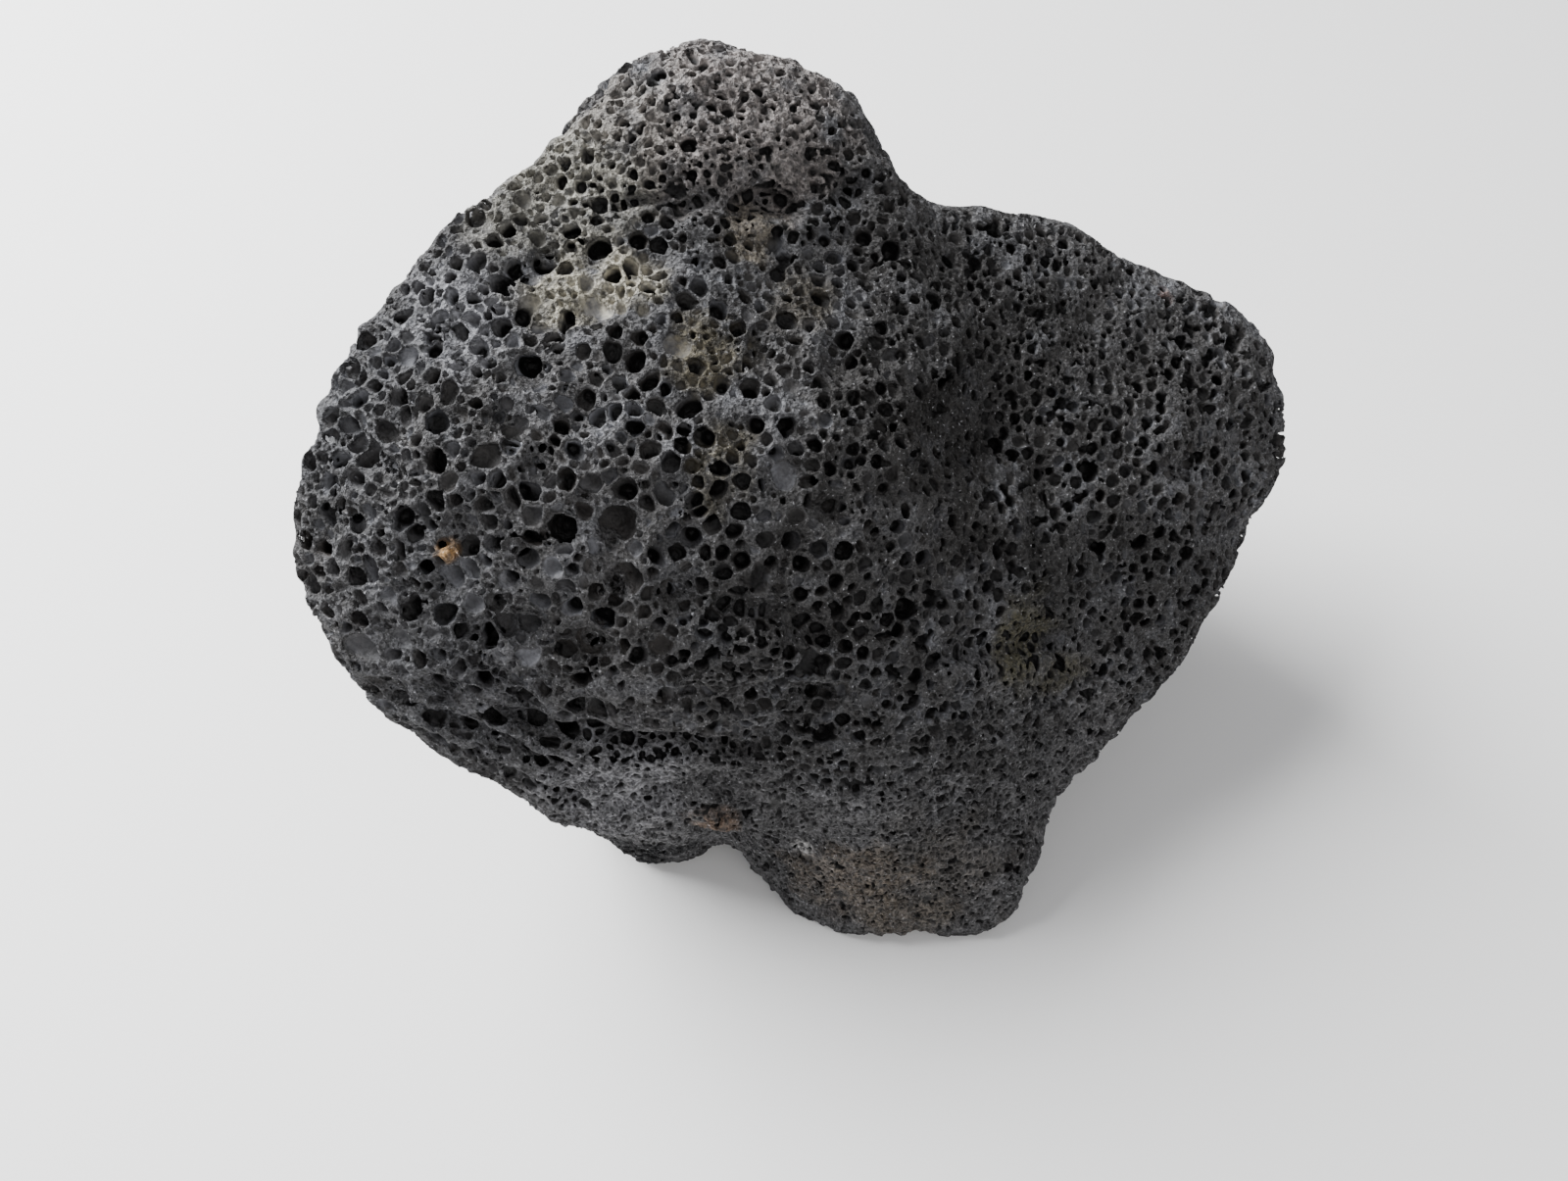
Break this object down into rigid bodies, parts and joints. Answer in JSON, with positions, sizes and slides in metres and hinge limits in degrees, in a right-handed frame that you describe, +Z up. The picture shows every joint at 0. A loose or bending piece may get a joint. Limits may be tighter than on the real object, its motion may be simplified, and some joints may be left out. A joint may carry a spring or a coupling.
{
  "type": "lava rock",
  "caption": "Block of vesicular lava rock with a lobed crown, a sloping side wing and open, cup-shaped vesicles, standing on three small level feet.",
  "frame": {"origin": "bottom centre of the bounding box, on the surface that the rock stands on", "axes": "+X along the longest side toward the sloping wing, +Y to the back, +Z up"},
  "size_m": [0.2438, 0.1702, 0.1798],
  "materials": {
    "basalt": "rough, porous, matte dark grey stone"
  },
  "bodies": {
    "root": {"lava_rock": "basalt"}
  },
  "joints": []
}
